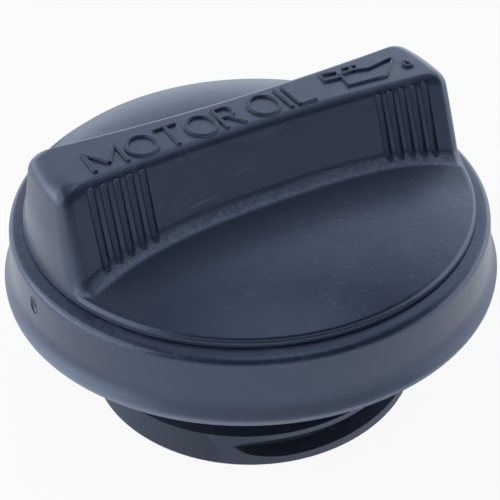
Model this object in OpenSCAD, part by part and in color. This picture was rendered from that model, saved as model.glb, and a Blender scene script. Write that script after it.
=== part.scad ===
// Oil filler cap: one plastic moulding, made of a domed disc with a grip bar across it, a rounded
// shoulder, a skirt and a hollow threaded plug, and a rubber sealing ring slipped over the plug.
// Millimetres, +Z up. The origin is the centre of the plug's bottom rim, +X runs along the grip bar.

/* [Skirt] */
// How far the lip at the skirt's bottom reaches out beyond the plug's wall
skirt_reach = 9.1; // [8.6:0.1:11]
// How far the lip stands out from the skirt's wall
lip_proud = 1.0; // [0.5:0.05:1.5]
// Height over which the wall flares out to the lip
lip_flare_h = 3.2; // [1.6:0.2:3.4]
// Height of the straight edge of the lip
lip_edge_h = 0.7; // [0.4:0.1:1.2]
// Height from the lip's bottom to the line round the disc
skirt_h = 8.2; // [7.6:0.1:12]
// Taper of the skirt's wall, in degrees
skirt_draft = 6.5; // [2:0.5:10]
// Wall thickness of the skirt
skirt_wall = 2.2; // [1.6:0.1:3]
// Thickness of the flange inside the line round the disc
flange_t = 2.5; // [2:0.1:3]
// Width of the shoulder between the line round the disc and the skirt's wall
shoulder_w = 1.7; // [1.4:0.1:3]
// Slope of the shoulder, in degrees
shoulder_slope = 8; // [0:1:15]
// Rounding between the shoulder and the skirt's wall
shoulder_round = 1.0; // [0.3:0.1:1.2]

/* [Disc] */
// Height of the disc's rim above the line round it
disc_step_h = 1.2; // [0.9:0.1:3]
// Rounding of the disc's rim
rim_round = 0.5; // [0.2:0.1:0.8]
// Height of the dome at the disc's centre, above its rim
dome_rise = 3.5; // [1:0.1:5]
// Thickness of the dome over the hollow of the plug
dome_wall = 2.6; // [2:0.1:4]
// Depth of the fine line round the disc's foot
line_depth = 0.25; // [0.1:0.05:0.4]

/* [Grip bar] */
// Height of the grip's top above the disc's rim, at its ends
grip_h = 10.8; // [7:0.1:16]
// How much higher the grip's top is at its middle than at its ends
grip_crown = 0.7; // [0:0.05:1.5]
// Width of the grip's top at its middle
grip_waist_w = 7.4; // [5.5:0.1:10]
// Width of the grip's top at its ends
grip_end_w = 10.6; // [7:0.1:11]
// Slope of the grip's long sides, in degrees from upright
grip_side_draft = 19; // [4:0.5:22]
// Slope of the grip's ends, in degrees from upright
grip_end_draft = 8.4; // [4:0.2:14]
// Radius of the grip's upright corners
grip_corner_r = 1.4; // [1:0.1:2.8]
// Rounding of the top edges along the grip's sides
grip_edge_r = 0.7; // [0.3:0.1:1.2]
// Rounding of the top edges at the grip's ends
grip_end_edge_r = 2.0; // [0.5:0.1:2.5]
// Radius of the cove between the grip's sides and the dome
cove_r = 2.2; // [0.8:0.1:2.6]
// Wall thickness of the grip over its hollow core
grip_wall = 2.3; // [1.8:0.1:3]

/* [Finger grooves] */
// Grooves in each group
groove_count = 5; // [3:1:5]
// Distance between neighbouring grooves
groove_pitch = 1.56; // [1.4:0.02:1.7]
// Distance from the last groove of a group to the end of the grip's top
groove_end_gap = 3.8; // [3.4:0.1:6]
// Radius of the grooves' round bottoms
groove_r = 0.45; // [0.3:0.05:0.5]
// Slope of the grooves' bottoms, in degrees from upright
groove_lean = 9; // [5:1:12]
// How far each groove's foot turns towards the end of the grip, in degrees
groove_fan = 3.4; // [0:0.2:5]
// Distance from the grip's top down to the point where the grooves fade out
groove_top_gap = 0.9; // [0.7:0.1:2]
// Height of the grooves' feet above the disc's floor
groove_foot_h = 0.5; // [0.2:0.1:2.5]

/* [Threaded plug] */
// Outer diameter of the plug
plug_d = 43.2; // [38:0.2:50]
// Wall thickness of the plug
plug_wall = 4.2; // [3.6:0.1:6]
// How far the plug reaches below the skirt's lip
plug_drop = 16.5; // [16:0.1:20]
// Chamfer on the plug's bottom rim
plug_chamfer = 0.4; // [0.2:0.1:0.8]
// Rise of the thread groove in one turn
thread_pitch = 3.95; // [3.7:0.05:4.4]
// Turns of the thread groove
thread_turns = 2.4; // [1.5:0.1:2.6]
// Width of the thread groove at the plug's outer wall
thread_groove_w = 3.2; // [2.4:0.05:3.4]
// Depth of the thread groove
thread_depth = 1.9; // [1.2:0.1:2.2]
// Slope of the groove's flanks, in degrees
thread_flank = 12; // [5:1:20]
// Height of the plain ring below the start of the groove
thread_ring_h = 1.2; // [0.8:0.1:2]
// Direction in which the groove starts, in degrees from +X
thread_start = -125.5; // [-180:1:180]
// Angle over which the groove grows to its full size
thread_runout = 20; // [12:1:40]

/* [Sealing ring] */
// Thickness of the sealing ring
ring_h = 2.8; // [1.8:0.1:3.2]
// Width of the sealing ring, from its inner to its outer edge
ring_w = 3.3; // [2.5:0.1:3.6]
// Gap between the sealing ring and the plug that it is slipped over
ring_gap = 0.05; // [0.05:0.05:0.3]

/* [Hidden] */

round_fn = 120;
arc_steps = 5;
dome_steps = 9;
flare_steps = 4;

// Heights, from the plug's bottom rim upwards
lip_z = plug_drop;
line_z = lip_z + skirt_h;
rim_z = line_z + disc_step_h;
grip_top_z = rim_z + grip_h;
flange_z = line_z - flange_t;
ring_z = flange_z - ring_h;

// Radii of the plug, then of the skirt and the disc from the lip inwards
plug_r = plug_d / 2;
bore_r = plug_r - plug_wall;
lip_r = plug_r + skirt_reach;
wall_foot_r = lip_r - lip_proud;
wall_foot_z = lip_z + lip_flare_h;
lip_chamfer = lip_edge_h * 0.4;
wall_top_r = wall_foot_r - (line_z - wall_foot_z) * tan(skirt_draft);
disc_r = wall_top_r - shoulder_w;
rim_r = disc_r - disc_step_h * tan(grip_end_draft) - rim_round;
rim_slope = atan(2 * dome_rise / rim_r);
skirt_inner_foot_r = wall_foot_r - skirt_wall;
skirt_inner_top_r = skirt_inner_foot_r - (flange_z - lip_z) * tan(skirt_draft) / 2;

// How far the grip's ends stand back from the disc's wall, and its foot sinks into the dome
grip_inset = 0.04;
grip_sink = 0.9;

// Angles of the cove's three outlines, and the run of its sunk foot for each millimetre down
cove_angles = [50, 25, 0];
foot_run = 1.7;

// How far the hollow core's foot reaches into the plug's hollow, and its ends stand back from the bore
core_reach = 1.5;
core_inset = 0.8;

// How far the thread groove's cutter stands out of the plug, and the share of its width below its axis
cutter_out = 0.8;
groove_low_share = 0.7;

// How far a cutter passes through the face that it cuts
cut_through = 1;
grip_top_r = disc_r - grip_inset - (grip_top_z - line_z) * tan(grip_end_draft);

// Middle of the shoulder's rounding, at its radius from both the shoulder's slope and the skirt's wall
slope_reach = disc_r * sin(shoulder_slope) + line_z * cos(shoulder_slope) - shoulder_round;
wall_reach = wall_foot_r * cos(skirt_draft) + wall_foot_z * sin(skirt_draft) - shoulder_round;
bend = cos(shoulder_slope + skirt_draft);
shoulder_mid_r = (wall_reach * cos(shoulder_slope) - slope_reach * sin(skirt_draft)) / bend;
shoulder_mid_z = (slope_reach * cos(skirt_draft) - wall_reach * sin(shoulder_slope)) / bend;

// Points of an arc round [x, z] from angle a0 to angle a1
function arc(x, z, r, a0, a1) = [
    for (i = [0 : arc_steps]) let (a = a0 + (a1 - a0) * i / arc_steps) [x + r * cos(a), z + r * sin(a)]
];

// Height of the disc's floor at a distance r from the axis
function dome_z(r) = rim_z + dome_rise * (1 - pow(min(r, rim_r) / rim_r, 2));

// Half width of the grip's top, and the height of its top, at a distance x from the middle
function grip_half_w(x) = grip_waist_w / 2 + (grip_end_w - grip_waist_w) / 2 * pow(x / grip_top_r, 2);
function grip_crest_z(x) = grip_top_z + grip_crown * (1 - pow(x / grip_top_r, 2));

// Half section of the moulding, from the top of the dome round to the ceiling of the plug's hollow
module body_section() {
    wall_slope = tan(grip_end_draft);
    ceiling_r = bore_r - 1;
    polygon(concat(
        [for (i = [0 : dome_steps]) let (r = rim_r * i / dome_steps) [r, dome_z(r)]],
        arc(rim_r, rim_z - rim_round, rim_round, 90 - rim_slope, grip_end_draft),
        [
            [disc_r - line_depth * wall_slope, line_z + line_depth],
            [disc_r - line_depth, line_z]
        ],
        arc(shoulder_mid_r, shoulder_mid_z, shoulder_round, 90 - shoulder_slope, skirt_draft),
        [
            for (i = [0 : flare_steps]) let (t = i / flare_steps, fall = lip_flare_h - lip_edge_h)
                [wall_foot_r + fall * t * (1 - t) * tan(skirt_draft) + lip_proud * t * t, wall_foot_z - fall * t]
        ],
        [
            [lip_r, lip_z + lip_chamfer],
            [lip_r - lip_chamfer, lip_z],
            [skirt_inner_foot_r, lip_z],
            [skirt_inner_top_r, flange_z],
            [plug_r, flange_z],
            [plug_r, plug_chamfer],
            [plug_r - plug_chamfer, 0],
            [bore_r, 0],
            [bore_r, dome_z(bore_r) - dome_wall - 1],
            [ceiling_r, dome_z(ceiling_r) - dome_wall]
        ],
        [for (i = [5 : -1 : 0]) let (r = ceiling_r * i / 6) [r, dome_z(r) - dome_wall]]
    ));
}

// One quarter of the grip's outline, as shares of its half length and half width,
// from the middle of an end, round a corner, to the middle of a long side
end_steps = 4;
corner_steps = 5;
side_steps = 9;
corner_a = grip_corner_r / grip_top_r;
corner_b = grip_corner_r / (grip_end_w / 2);
grip_quarter = concat(
    [for (i = [0 : end_steps - 1]) [1, (1 - corner_b) * i / end_steps]],
    [for (i = [0 : corner_steps]) let (t = 90 * i / corner_steps)
        [1 - corner_a * (1 - cos(t)), 1 - corner_b * (1 - sin(t))]],
    [for (i = [1 : side_steps]) [(1 - corner_a) * (1 - i / side_steps), 1]]
);
quarter_n = len(grip_quarter) - 1;
loop_n = 4 * quarter_n;
grip_loop = concat(
    [for (i = [0 : quarter_n - 1]) grip_quarter[i]],
    [for (i = [quarter_n : -1 : 1]) [-grip_quarter[i][0], grip_quarter[i][1]]],
    [for (i = [0 : quarter_n - 1]) -grip_quarter[i]],
    [for (i = [quarter_n : -1 : 1]) [grip_quarter[i][0], -grip_quarter[i][1]]]
);

// A point of the grip at height z, where its sides stand out by side_out and its ends by end_out
function grip_at(ab, z, side_out, end_out) =
    let (x0 = ab[0] * grip_top_r)
    let (drop = grip_crest_z(x0) - z)
    let (y = ab[1] * (grip_half_w(x0) + drop * tan(grip_side_draft) + side_out))
    let (r = grip_top_r + drop * tan(grip_end_draft) + end_out)
    [ab[0] * sqrt(r * r - y * y), y, z];

// A point of the cove, at an angle of 0 at the grip's wall and 90 on the dome
function cove_at(ab, angle) =
    let (foot = grip_at(ab, rim_z + dome_rise / 2, 0, 0))
    let (floor_z = dome_z(norm([foot[0], foot[1]])))
    grip_at(ab, floor_z + cove_r * (1 - sin(angle)), cove_r * (1 - cos(angle)), 0);

// A point of the grip's foot, which carries the cove's slope on into the dome
function foot_at(ab) =
    let (foot = grip_at(ab, rim_z + dome_rise / 2, 0, 0))
    let (floor_z = dome_z(norm([foot[0], foot[1]])))
    let (cove_out = cove_r * (1 - cos(cove_angles[0])), cove_up = cove_r * (1 - sin(cove_angles[0])))
    grip_at(ab, floor_z - grip_sink, cove_out + (cove_up + grip_sink) * foot_run, 0);

// A point of the rounded top edge, at an angle of 0 at the wall and 90 on the top
function edge_at(ab, angle) =
    let (r = grip_edge_r + (grip_end_edge_r - grip_edge_r) * pow(abs(ab[0]), 8))
    let (z = grip_crest_z(ab[0] * grip_top_r) - r * (1 - sin(angle)))
    grip_at(ab, z, -grip_edge_r * (1 - cos(angle)), -grip_end_edge_r * (1 - cos(angle)));

// The grip bar: a stack of outlines from the sunk foot, up the cove and wall, to the top face
module grip_bar() {
    levels = [
        [for (ab = grip_loop) foot_at(ab)],
        for (angle = cove_angles) [for (ab = grip_loop) cove_at(ab, angle)],
        for (angle = [0, 30, 60, 90]) [for (ab = grip_loop) edge_at(ab, angle)]
    ];
    last = len(levels) - 1;
    walls = [
        for (k = [0 : last - 1], j = [0 : loop_n - 1])
            let (a = k * loop_n + j, b = k * loop_n + (j + 1) % loop_n)
            each [[a, b + loop_n, b], [a, a + loop_n, b + loop_n]]
    ];
    // Each end face is strips from a point to its mirror image across the bar
    bottom = [
        for (j = [0 : loop_n / 2 - 1])
            let (m = (loop_n - j) % loop_n, n = loop_n - j - 1)
            each [[j, j + 1, n], if (j > 0) [j, n, m]]
    ];
    top = [for (f = bottom) [for (i = f) i + last * loop_n]];
    polyhedron(
        points = [for (level = levels) each level],
        faces = concat(walls, bottom, [for (f = top) [f[2], f[1], f[0]]])
    );
}

// One finger groove: a round-bottomed slot at a distance x from the middle. It is steeper than
// the grip's side, so it fades out at its top and is deepest at its foot
module finger_groove(x) {
    reach = 3;
    top_z = grip_crest_z(x) - groove_top_gap;
    foot_z = dome_z(x) + groove_foot_h;
    length = (top_z - foot_z) / cos(groove_lean);
    y = grip_half_w(x) + groove_top_gap * tan(grip_side_draft) + groove_r * cos(groove_lean);
    translate([x, y, top_z])
        rotate([0, -sign(x) * groove_fan, 0])
            rotate([180 + groove_lean, 0, 0]) {
                cylinder(r = groove_r, h = length, $fn = 24);
                translate([-groove_r, -reach, 0]) cube([2 * groove_r, reach, length]);
            }
}

// All four groups of finger grooves
module finger_grooves() {
    for (end = [-1, 1], side = [0, 1], i = [0 : groove_count - 1]) {
        x = end * (grip_top_r - groove_end_gap - i * groove_pitch);
        mirror([0, side, 0]) finger_groove(x);
    }
}

// The hollow core of the grip, open into the plug's bore
module grip_core() {
    core_top_z = grip_top_z - grip_wall;
    core_foot_z = dome_z(bore_r) - dome_wall - core_reach;
    top_w = grip_half_w(0) + (grip_top_z - core_top_z) * tan(grip_side_draft) - grip_wall;
    foot_w = grip_half_w(0) + (grip_top_z - core_foot_z) * tan(grip_side_draft) - grip_wall;
    intersection() {
        rotate([90, 0, 90])
            linear_extrude(height = 2 * bore_r, center = true)
                polygon([[-foot_w, core_foot_z], [foot_w, core_foot_z], [top_w, core_top_z], [-top_w, core_top_z]]);
        cylinder(r = bore_r - core_inset, h = grip_top_z, $fn = round_fn);
    }
}

// Size of the thread groove, from 0 at its two ends to 1, at an angle from its start
function groove_size(angle) =
    let (left = min(angle, thread_turns * 360 - angle))
    left >= thread_runout ? 1 : max(0.02, sqrt(sin(90 * left / thread_runout)));

// Section of the thread groove at an angle from its start: two points on its bottom, two outside the plug
function groove_section(angle) =
    let (s = groove_size(angle))
    let (low_w = thread_groove_w * groove_low_share)
    let (axis_z = thread_ring_h + low_w + thread_pitch * angle / 360)
    let (low = -low_w * s, high = (thread_groove_w - low_w) * s)
    let (lean = tan(thread_flank) * s)
    let (a = thread_start + angle)
    [for (p = [
        [plug_r - thread_depth * s, low + thread_depth * lean],
        [plug_r + cutter_out, low - cutter_out * lean],
        [plug_r + cutter_out, high + cutter_out * lean],
        [plug_r - thread_depth * s, high - thread_depth * lean]
    ]) [p[0] * cos(a), p[0] * sin(a), axis_z + p[1]]];

// The thread groove: its section carried along a right-hand helix
module thread_groove() {
    step = 5;
    runout_step = thread_runout / 5;
    turned = thread_turns * 360;
    angles = concat(
        [for (i = [0 : 4]) i * runout_step],
        [for (a = [thread_runout : step : turned - thread_runout - step / 2]) a],
        [for (i = [5 : -1 : 0]) turned - i * runout_step]
    );
    n = len(angles);
    polyhedron(
        points = [for (a = angles) each groove_section(a)],
        faces = concat(
            [[3, 2, 1, 0]],
            [for (k = [0 : n - 2], j = [0 : 3])
                let (a = 4 * k + j, b = 4 * k + (j + 1) % 4)
                each [[a, b + 4, a + 4], [a, b, b + 4]]],
            [[4 * n - 4, 4 * n - 3, 4 * n - 2, 4 * n - 1]]
        )
    );
}

// The moulding: disc, grip bar, shoulder, skirt and hollow threaded plug in one piece
module cap_body() {
    color("slategray")
        difference() {
            union() {
                rotate_extrude($fn = round_fn) body_section();
                grip_bar();
            }
            finger_grooves();
            grip_core();
            thread_groove();
        }
}

// The flat rubber ring that seals the cap on the filler neck, slipped over the plug up to the flange
module sealing_ring() {
    inner_r = plug_r + ring_gap;
    outer_r = inner_r + ring_w;
    color("dimgray")
        translate([0, 0, ring_z])
            difference() {
                cylinder(r = outer_r, h = ring_h, $fn = round_fn);
                translate([0, 0, -cut_through]) cylinder(r = inner_r, h = ring_h + 2 * cut_through, $fn = round_fn);
            }
}

cap_body();
sealing_ring();
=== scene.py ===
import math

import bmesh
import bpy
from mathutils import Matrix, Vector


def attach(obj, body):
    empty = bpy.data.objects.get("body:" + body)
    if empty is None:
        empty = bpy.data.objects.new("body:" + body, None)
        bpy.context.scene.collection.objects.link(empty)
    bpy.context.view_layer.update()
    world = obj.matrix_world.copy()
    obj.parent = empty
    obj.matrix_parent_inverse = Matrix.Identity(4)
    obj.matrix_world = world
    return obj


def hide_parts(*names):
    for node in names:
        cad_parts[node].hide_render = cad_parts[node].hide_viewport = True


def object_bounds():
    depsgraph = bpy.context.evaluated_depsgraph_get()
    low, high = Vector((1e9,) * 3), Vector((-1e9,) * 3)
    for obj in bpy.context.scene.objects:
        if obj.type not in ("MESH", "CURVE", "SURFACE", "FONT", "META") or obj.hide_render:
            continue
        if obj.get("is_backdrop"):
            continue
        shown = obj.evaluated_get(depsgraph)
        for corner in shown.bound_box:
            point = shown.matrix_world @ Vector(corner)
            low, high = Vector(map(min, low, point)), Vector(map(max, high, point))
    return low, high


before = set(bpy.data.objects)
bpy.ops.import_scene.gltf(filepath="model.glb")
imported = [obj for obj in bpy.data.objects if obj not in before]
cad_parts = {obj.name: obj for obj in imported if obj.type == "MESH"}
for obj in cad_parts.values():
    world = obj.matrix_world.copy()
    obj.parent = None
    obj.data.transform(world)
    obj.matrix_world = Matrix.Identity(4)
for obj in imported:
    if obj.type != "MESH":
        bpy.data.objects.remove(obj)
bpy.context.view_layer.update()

# %% [markdown]
# An oil filler cap: a satin plastic moulding with a grip bar across a domed disc, a skirt with a flared
# lip, and a hollow plug with a coarse thread. A rubber ring is slipped over the plug, up to the flange.
# The scene is built around the imported CAD part, in metres, in the same frame: the origin is the centre of
# the plug's bottom rim, +Z is up and +X runs along the grip bar.

MM = 0.001
scene = bpy.context.scene
print("nodes:", sorted(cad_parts))

# %% [markdown]
# Shader and geometry trees are long lists of nodes and links when they are written out. A small class wraps
# a socket instead, so that sums on it are written as sums, and each operator adds its own Math node. Every
# operator has its reflected form, so that 1 - mask works as well as mask - 1.

# %% A socket that can be reckoned with
class Value:
    """A socket in a tree, on which arithmetic adds Math nodes."""

    def __init__(self, tree, socket):
        self.tree, self.socket = tree, socket

    def other(self, name):
        """Another output of the same node."""
        return Value(self.tree, self.socket.node.outputs[name])

    def math(self, operation, *others):
        inputs = dict(enumerate((self, *others)))
        return self.tree.node("ShaderNodeMath", {"operation": operation}, inputs)

    def at_most(self, b):
        return self.math("MINIMUM", b)

    def at_least(self, b):
        return self.math("MAXIMUM", b)

    def rise(self, low, high):
        """0 below low and 1 above high, with a soft step between them; high may be under low."""
        return self.tree.node("ShaderNodeMapRange", {"interpolation_type": "SMOOTHSTEP"},
                              {"Value": self, "From Min": low, "From Max": high})

    def __add__(self, b):
        return self.math("ADD", b)

    def __sub__(self, b):
        return self.math("SUBTRACT", b)

    def __rsub__(self, b):
        return self.tree.value(b).math("SUBTRACT", self)

    def __mul__(self, b):
        return self.math("MULTIPLY", b)

    def __truediv__(self, b):
        return self.math("DIVIDE", b)

    def __rtruediv__(self, b):
        return self.tree.value(b).math("DIVIDE", self)

    def __pow__(self, b):
        return self.math("POWER", b)

    def __rpow__(self, b):
        return self.tree.value(b).math("POWER", self)

    def __neg__(self):
        return self.math("MULTIPLY", -1.0)

    def __abs__(self):
        return self.math("ABSOLUTE")

    __radd__ = __add__
    __rmul__ = __mul__


print("operators add Math nodes")

# %% [markdown]
# Any other node comes from one method, which takes its type, its settings and the values or links of its
# sockets. Colours have a method of their own, because a Math node would turn them grey.

# %% A tree, and the method that adds its nodes
class Tree:
    """A node tree that starts empty."""

    def __init__(self, tree):
        self.tree = tree
        tree.nodes.clear()

    def node(self, kind, settings=None, inputs=None, out=0):
        node = self.tree.nodes.new(kind)
        for key, value in (settings or {}).items():
            setattr(node, key, value)
        for key, value in (inputs or {}).items():
            if isinstance(value, Value):
                self.tree.links.new(value.socket, node.inputs[key])
            else:
                node.inputs[key].default_value = value
        return Value(self, node.outputs[out]) if len(node.outputs) else node

    def value(self, number):
        made = self.node("ShaderNodeValue")
        made.socket.default_value = number
        return made

    def mix(self, share, a, b):
        """Mixes two colours, from a at share 0 to b at share 1."""
        return self.node("ShaderNodeMix", {"data_type": "RGBA"}, {0: share, 6: a, 7: b}, out=2)


print("one method adds every other node")

# %% [markdown]
# Most of the moulding's sizes are the CAD part's own, typed again in millimetres because this file reads
# nothing but the frame. A few are closer fits to the photograph and differ by less than a millimetre: the
# dome is flatter in the middle, and the grip's top is a little narrower and straighter, over a side that
# leans more and a tighter cove. Heights count from the plug's bottom rim, radii from the axis.

# %% Sizes of the moulding, in millimetres
LIP_R, LIP_Z, WALL_FOOT_R, WALL_FOOT_Z, WALL_LEAN = 30.7, 16.5, 29.7, 19.7, 6.5
LINE_Z, DISC_R, SHOULDER_SLOPE, SHOULDER_ROUND = 24.7, 27.43, 8.0, 1.0
RIM_Z, RIM_R, RIM_ROUND, DOME_RISE, DOME_POWER = 25.9, 26.75, 0.5, 2.7, 4.0
FLANGE_Z, RING_Z, PLUG_R, BORE_R, DOME_WALL = 22.2, 19.4, 21.6, 17.4, 2.6
LIP_ROUND, LIP_BAND, SKIRT_WALL = 0.3, 0.7, 2.2
PLUG_ROUND, BORE_ROUND, CEILING_ROUND, FLANGE_EDGE, BORE_LEAD = 0.45, 0.2, 1.0, 0.6, 1.5
GRIP_Z, GRIP_R, GRIP_CROWN, GRIP_WAIST, GRIP_END = 36.98, 25.62, 0.06, 3.4, 4.8
SIDE_LEAN, END_LEAN, CORNER_R, EDGE_R, END_EDGE_R, COVE_R = 20.5, 8.4, 1.4, 0.9, 2.0, 1.5


def tan(degrees):
    return math.tan(math.radians(degrees))


def dome_z(r):
    """Height of the disc's floor at a distance r from the axis."""
    return RIM_Z + DOME_RISE * (1 - (min(r, RIM_R) / RIM_R) ** DOME_POWER)


def half_width(x):
    """Half width of the grip's top at a distance x from its middle."""
    return GRIP_WAIST + (GRIP_END - GRIP_WAIST) * (x / GRIP_R) ** 2


def crest_z(x):
    """Height of the grip's top at a distance x from its middle."""
    return GRIP_Z + GRIP_CROWN * (1 - (x / GRIP_R) ** 2)


print("dome at the axis %.2f mm, grip's top %.2f mm high" % (dome_z(0), crest_z(0)))

# %% [markdown]
# Everything round on the cap is one section turned about the axis. Its outside starts at the top of the
# dome and goes over the rim, the fine line, the shoulder, the wall and its flare to the lip. Bevelled
# cylinders could come close, but in a section each radius and slope is set on its own. Many short steps on
# each arc keep the highlights smooth.

# %% Helpers for the section
def arc(x, z, r, start, end, steps):
    """Points of an arc round (x, z), from one angle to another, in degrees."""
    angles = [math.radians(start + (end - start) * i / steps) for i in range(steps + 1)]
    return [(x + r * math.cos(a), z + r * math.sin(a)) for a in angles]


def between(a, b, steps):
    """Points from a up to, but not at, b."""
    return [(a[0] + (b[0] - a[0]) * i / steps, a[1] + (b[1] - a[1]) * i / steps) for i in range(steps)]


def shoulder_middle():
    """Middle of the shoulder's rounding, at its radius from both the slope and the wall."""
    slope, lean = math.radians(SHOULDER_SLOPE), math.radians(WALL_LEAN)
    over = DISC_R * math.sin(slope) + LINE_Z * math.cos(slope) - SHOULDER_ROUND
    out = WALL_FOOT_R * math.cos(lean) + WALL_FOOT_Z * math.sin(lean) - SHOULDER_ROUND
    bend = math.cos(slope + lean)
    r = (out * math.cos(slope) - over * math.sin(lean)) / bend
    z = (over * math.cos(lean) - out * math.sin(slope)) / bend
    return r, z


def flare(t):
    """The wall's flare to the lip, from 0 at the wall to 1 at the lip's edge."""
    fall = WALL_FOOT_Z - LIP_Z - LIP_BAND
    r = WALL_FOOT_R + fall * t * (1 - t) * tan(WALL_LEAN) + (LIP_R - WALL_FOOT_R) * t * t
    return r, WALL_FOOT_Z - fall * t


print("shoulder rounded about", [round(v, 2) for v in shoulder_middle()])

# %% The outside of the section
DOME_STEPS = 34
dome = [(r, dome_z(r)) for r in (RIM_R * i / DOME_STEPS for i in range(DOME_STEPS))]
# The line's points are offsets, outwards and upwards, from the foot of the disc's wall.
line_bead = [(DISC_R + out, LINE_Z + up) for out, up in ((-0.09, 0.66), (-0.03, 0.22))]
line_groove = [(DISC_R + out, LINE_Z + up) for out, up in (
    (-0.03, 0.22), (-0.1, 0.1), (-0.2, -0.04), (-0.04, -0.02), (0.06, -0.012))]
shoulder_start = (DISC_R + 0.16, LINE_Z - 0.023)
mid_r, mid_z = shoulder_middle()
wall_top = arc(mid_r, mid_z, SHOULDER_ROUND, 90 - SHOULDER_SLOPE, WALL_LEAN, 8)
outside = (
    dome + arc(RIM_R, RIM_Z - RIM_ROUND, RIM_ROUND, 78, END_LEAN, 7)
    + between(*line_bead, 2) + line_groove
    + between(shoulder_start, wall_top[0], 3) + wall_top
    + between(wall_top[-1], (WALL_FOOT_R, WALL_FOOT_Z), 6)[1:]
    + [flare(i / 8) for i in range(9)]
    + arc(LIP_R - LIP_ROUND, LIP_Z + LIP_ROUND, LIP_ROUND, 0, -90, 5)
)
print("outside of", len(outside), "points")

# %% [markdown]
# The inside follows: the skirt's inner wall, the flange that the rubber ring lies against, the plug, its
# bore and the underside of the dome. The photograph shows only the plug's outer wall of these, so the
# thicknesses are the common ones of such mouldings.

# %% The inside of the section
inner_foot = WALL_FOOT_R - SKIRT_WALL
inner_top = inner_foot - (FLANGE_Z - LIP_Z) * tan(WALL_LEAN) / 2
ceiling = dome_z(BORE_R) - DOME_WALL - CEILING_ROUND
under_r = BORE_R - CEILING_ROUND
inside_skirt = between((inner_foot, LIP_Z), (inner_top, FLANGE_Z), 4)
flange = [(inner_top, FLANGE_Z), (inner_top - FLANGE_EDGE, FLANGE_Z)]
plug_wall = between((PLUG_R, FLANGE_Z), (PLUG_R, PLUG_ROUND), 20)
plug_foot = arc(PLUG_R - PLUG_ROUND, PLUG_ROUND, PLUG_ROUND, 0, -90, 4)
bore_rim = [(BORE_R + BORE_ROUND, 0), (BORE_R, BORE_ROUND)]
bore = bore_rim + between((BORE_R, BORE_LEAD), (BORE_R, ceiling), 5) + [(BORE_R, ceiling)]
under_dome = [(r, dome_z(r) - DOME_WALL) for r in (under_r * i / 8 for i in range(8, -1, -1))]
section = outside + inside_skirt + flange + plug_wall + plug_foot + bore + under_dome
print("section of", len(section), "points")

# %% [markdown]
# Spin could turn the section, but it leaves doubled points on the axis. So it is turned by hand, ring by
# ring, with one vertex at each pole, and the shell is closed and every face points outwards. A short check
# prints the volume, which would be negative inside out.

# %% Helpers for turned meshes
def mesh_object(name, points, faces):
    """A mesh object from points in millimetres."""
    mesh = bpy.data.meshes.new(name)
    mesh.from_pydata([Vector(p) * MM for p in points], [], faces)
    mesh.update()
    made = bpy.data.objects.new(name, mesh)
    scene.collection.objects.link(made)
    return made


def turned(name, profile, segments, is_ring=False):
    """A solid of revolution; a ring's profile closes on itself, another one's ends lie on the axis."""
    body = profile if is_ring else profile[1:-1]
    points = [(r * math.cos(a), r * math.sin(a), z) for r, z in body
              for a in (math.tau * j / segments for j in range(segments))]
    loops = len(body) if is_ring else len(body) - 1
    faces = []
    for i in range(loops):
        low = (i + 1) % len(body)
        for j in range(segments):
            k = (j + 1) % segments
            faces.append((i * segments + j, low * segments + j, low * segments + k, i * segments + k))
    if not is_ring:
        top, bottom, last = len(points), len(points) + 1, (len(body) - 1) * segments
        points += [(0, 0, profile[0][1]), (0, 0, profile[-1][1])]
        faces += [(top, j, (j + 1) % segments) for j in range(segments)]
        faces += [(bottom, last + (j + 1) % segments, last + j) for j in range(segments)]
    return mesh_object(name, points, faces)


def volume(thing):
    """Volume of a closed mesh, in cubic millimetres."""
    made = bmesh.new()
    made.from_mesh(thing.data)
    size = made.calc_volume(signed=True) / MM ** 3
    open_edges = sum(1 for e in made.edges if len(e.link_faces) != 2)
    made.free()
    return round(size, 1), open_edges


print("turned shapes are closed at their poles")

# %% Turning the section
moulding = turned("cap_moulding", section, 240)
print("turned body, volume and open edges:", volume(moulding))

# %% [markdown]
# The grip bar is a loft: one closed outline, with straight ends on the disc's own wall, rounded corners and
# slightly waisted sides, carried up from a foot that is sunk into the dome, over the cove and the wall, to
# the rounded top edge. A box with bevels has no such waist, and its foot wouldn't follow the dome, so every
# level is worked out. The CAD part has the same kind of outline with fewer steps.

# %% Outline of the grip bar
def quarter(end_steps=10, corner_steps=12, side_steps=46):
    """A quarter of the outline as shares of half length and half width, from an end's middle to a side's."""
    a, b = CORNER_R / GRIP_R, CORNER_R / GRIP_END
    made = [(1.0, (1 - b) * i / end_steps) for i in range(end_steps)]
    for i in range(corner_steps + 1):
        t = math.radians(90 * i / corner_steps)
        made.append((1 - a * (1 - math.cos(t)), 1 - b * (1 - math.sin(t))))
    return made + [((1 - a) * (1 - i / side_steps), 1.0) for i in range(1, side_steps + 1)]


def closed_loop(part):
    """The whole outline from its quarter."""
    n = len(part) - 1
    return (
        part[:n] + [(-a, b) for a, b in part[n:0:-1]]
        + [(-a, -b) for a, b in part[:n]] + [(a, -b) for a, b in part[n:0:-1]]
    )


outline = closed_loop(quarter())
print(len(outline), "points round the bar")

# %% Heights of the grip bar
def grip_at(share, z, side_out, end_out):
    """A point of the grip at height z, where sides and ends stand out by these amounts."""
    x = share[0] * GRIP_R
    drop = crest_z(x) - z
    y = share[1] * (half_width(x) + drop * tan(SIDE_LEAN) + side_out)
    r = GRIP_R + drop * tan(END_LEAN) + end_out
    return (share[0] * math.sqrt(r * r - y * y), y, z)


def above_floor(share, height, side_out):
    """A point of the grip's foot at a height above the dome right under it."""
    z = RIM_Z + DOME_RISE / 2
    for _ in range(5):
        x, y, _z = grip_at(share, z, side_out, 0)
        z = dome_z(math.hypot(x, y)) + height
    return grip_at(share, z, side_out, 0)


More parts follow.
